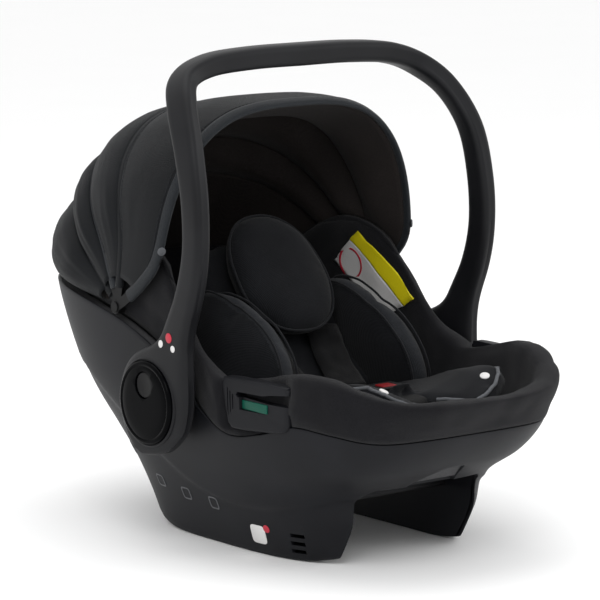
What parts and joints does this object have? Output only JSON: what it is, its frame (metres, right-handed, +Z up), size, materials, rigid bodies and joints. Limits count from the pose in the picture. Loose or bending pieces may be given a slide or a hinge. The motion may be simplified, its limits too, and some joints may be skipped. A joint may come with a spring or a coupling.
{
  "type": "infant car seat",
  "caption": "Rear-facing infant carrier seat with a moulded shell, swinging carry handle, folding canopy, padded cover, harness and base fittings.",
  "frame": {"origin": "bottom centre of the whole seat, on the surface that it stands on", "axes": "+Z up; the foot end faces -Y and the head end +Y; the sitter's left is +X"},
  "size_m": [0.446, 0.6593, 0.5602],
  "materials": {
    "shell_plastic": "satin moulded",
    "handle_plastic": "fine grain",
    "gloss_black": "gloss",
    "dark_plastic": "matte",
    "cover_fabric": "woven",
    "canopy_fabric": "tight stretch weave",
    "insert_fabric": "soft jersey",
    "webbing": "ribbed webbing",
    "foam": "bead foam",
    "steel": "zinc plated",
    "belt_green": "satin"
  },
  "bodies": {
    "seat": {"adjuster_housing": "dark_plastic", "back_pad": "insert_fabric", "base_screw_1": "steel", "base_screw_2": "steel", "base_screw_3": "steel", "base_screw_4": "steel", "belt_guide_insert_left": "belt_green", "belt_guide_insert_right": "belt_green", "belt_guide_left": "shell_plastic", "belt_guide_right": "shell_plastic", "bolster_left": "insert_fabric", "bolster_right": "insert_fabric", "buckle_housing": "dark_plastic", "button_spring_left": "steel", "button_spring_right": "steel", "canopy_rivet_left": "steel", "canopy_rivet_right": "steel", "cover_rim": "cover_fabric", "crotch_strap": "webbing", "foam_liner": "foam", "headrest": "insert_fabric", "hub_mount_left": "dark_plastic", "hub_mount_right": "dark_plastic", "latch_bar_front": "steel", "latch_bar_rear": "steel", "lever_bracket_left": "dark_plastic", "lever_bracket_right": "dark_plastic", "lock_ring_left": "steel", "lock_ring_right": "steel", "outer_shell": "shell_plastic", "seat_cover": "cover_fabric", "seat_pad": "insert_fabric", "shoulder_pad_left": "insert_fabric", "shoulder_pad_right": "insert_fabric", "shoulder_strap_left": "webbing", "shoulder_strap_right": "webbing"},
    "handle": {"handle_outer_shell": "handle_plastic", "handle_inner_shell": "handle_plastic", "hub_cap_left": "gloss_black", "hub_cap_right": "gloss_black", "pivot_bolt_left": "steel", "pivot_bolt_right": "steel"},
    "handle_button_left": {"release_button_left": "dark_plastic", "lock_plunger_left": "dark_plastic"},
    "handle_button_right": {"release_button_right": "dark_plastic", "lock_plunger_right": "dark_plastic"},
    "canopy_rear": {"canopy_bow_rear": "dark_plastic", "canopy_gore_rear": "canopy_fabric"},
    "canopy_third": {"canopy_bow_third": "dark_plastic", "canopy_gore_third": "canopy_fabric"},
    "canopy_second": {"canopy_bow_second": "dark_plastic", "canopy_gore_second": "canopy_fabric"},
    "canopy_front": {"canopy_bow_front": "dark_plastic", "canopy_gore_front": "canopy_fabric"},
    "buckle_button": {"buckle_button": "dark_plastic"},
    "adjuster_button": {"adjuster_button": "dark_plastic"},
    "release_lever": {"release_lever": "dark_plastic"}
  },
  "joints": [
    {"name": "handle_swing", "type": "hinge", "parent": "seat", "child": "handle", "pos_m": [0, -0.0009, 0.171], "axis": [-1, 0, 0], "range_deg": [0, 110]},
    {"name": "handle_press_left", "type": "slide", "parent": "handle", "child": "handle_button_left", "axis": [-1, 0, 0], "range_m": [0, 0.003], "stiffness_N_per_m": 300, "springref_m": -0.003},
    {"name": "handle_press_right", "type": "slide", "parent": "handle", "child": "handle_button_right", "axis": [1, 0, 0], "range_m": [0, 0.003], "stiffness_N_per_m": 300, "springref_m": -0.003},
    {"name": "canopy_fold", "type": "hinge", "parent": "seat", "child": "canopy_rear", "pos_m": [0, 0.1041, 0.262], "axis": [-1, 0, 0], "range_deg": [0, 28], "deforming": ["canopy_gore_rear"]},
    {"name": "canopy_third_fold", "type": "hinge", "parent": "canopy_rear", "child": "canopy_third", "pos_m": [0, 0.1041, 0.262], "axis": [-1, 0, 0], "range_deg": [0, 12], "deforming": ["canopy_gore_third"]},
    {"name": "canopy_second_fold", "type": "hinge", "parent": "canopy_third", "child": "canopy_second", "pos_m": [0, 0.1041, 0.262], "axis": [-1, 0, 0], "range_deg": [0, 22], "deforming": ["canopy_gore_second"]},
    {"name": "canopy_front_fold", "type": "hinge", "parent": "canopy_second", "child": "canopy_front", "pos_m": [0, 0.1041, 0.262], "axis": [-1, 0, 0], "range_deg": [0, 29], "deforming": ["canopy_gore_front"]},
    {"name": "buckle_press", "type": "slide", "parent": "seat", "child": "buckle_button", "axis": [0, 0, -1], "range_m": [0, 0.003], "stiffness_N_per_m": 300, "springref_m": -0.003},
    {"name": "adjuster_press", "type": "slide", "parent": "seat", "child": "adjuster_button", "axis": [0, 0, -1], "range_m": [0, 0.003], "stiffness_N_per_m": 300, "springref_m": -0.003},
    {"name": "lever_pull", "type": "hinge", "parent": "seat", "child": "release_lever", "pos_m": [0, 0.29879, 0.205], "axis": [1, 0, 0], "range_deg": [0, 20], "stiffness_Nm_per_rad": 0.3, "springref_deg": -11.46}
  ],
  "couplings": [
    {"joint": "canopy_third_fold", "follows": "canopy_fold", "ratio": 0.42857},
    {"joint": "canopy_second_fold", "follows": "canopy_fold", "ratio": 0.78571},
    {"joint": "canopy_front_fold", "follows": "canopy_fold", "ratio": 1.0357}
  ]
}
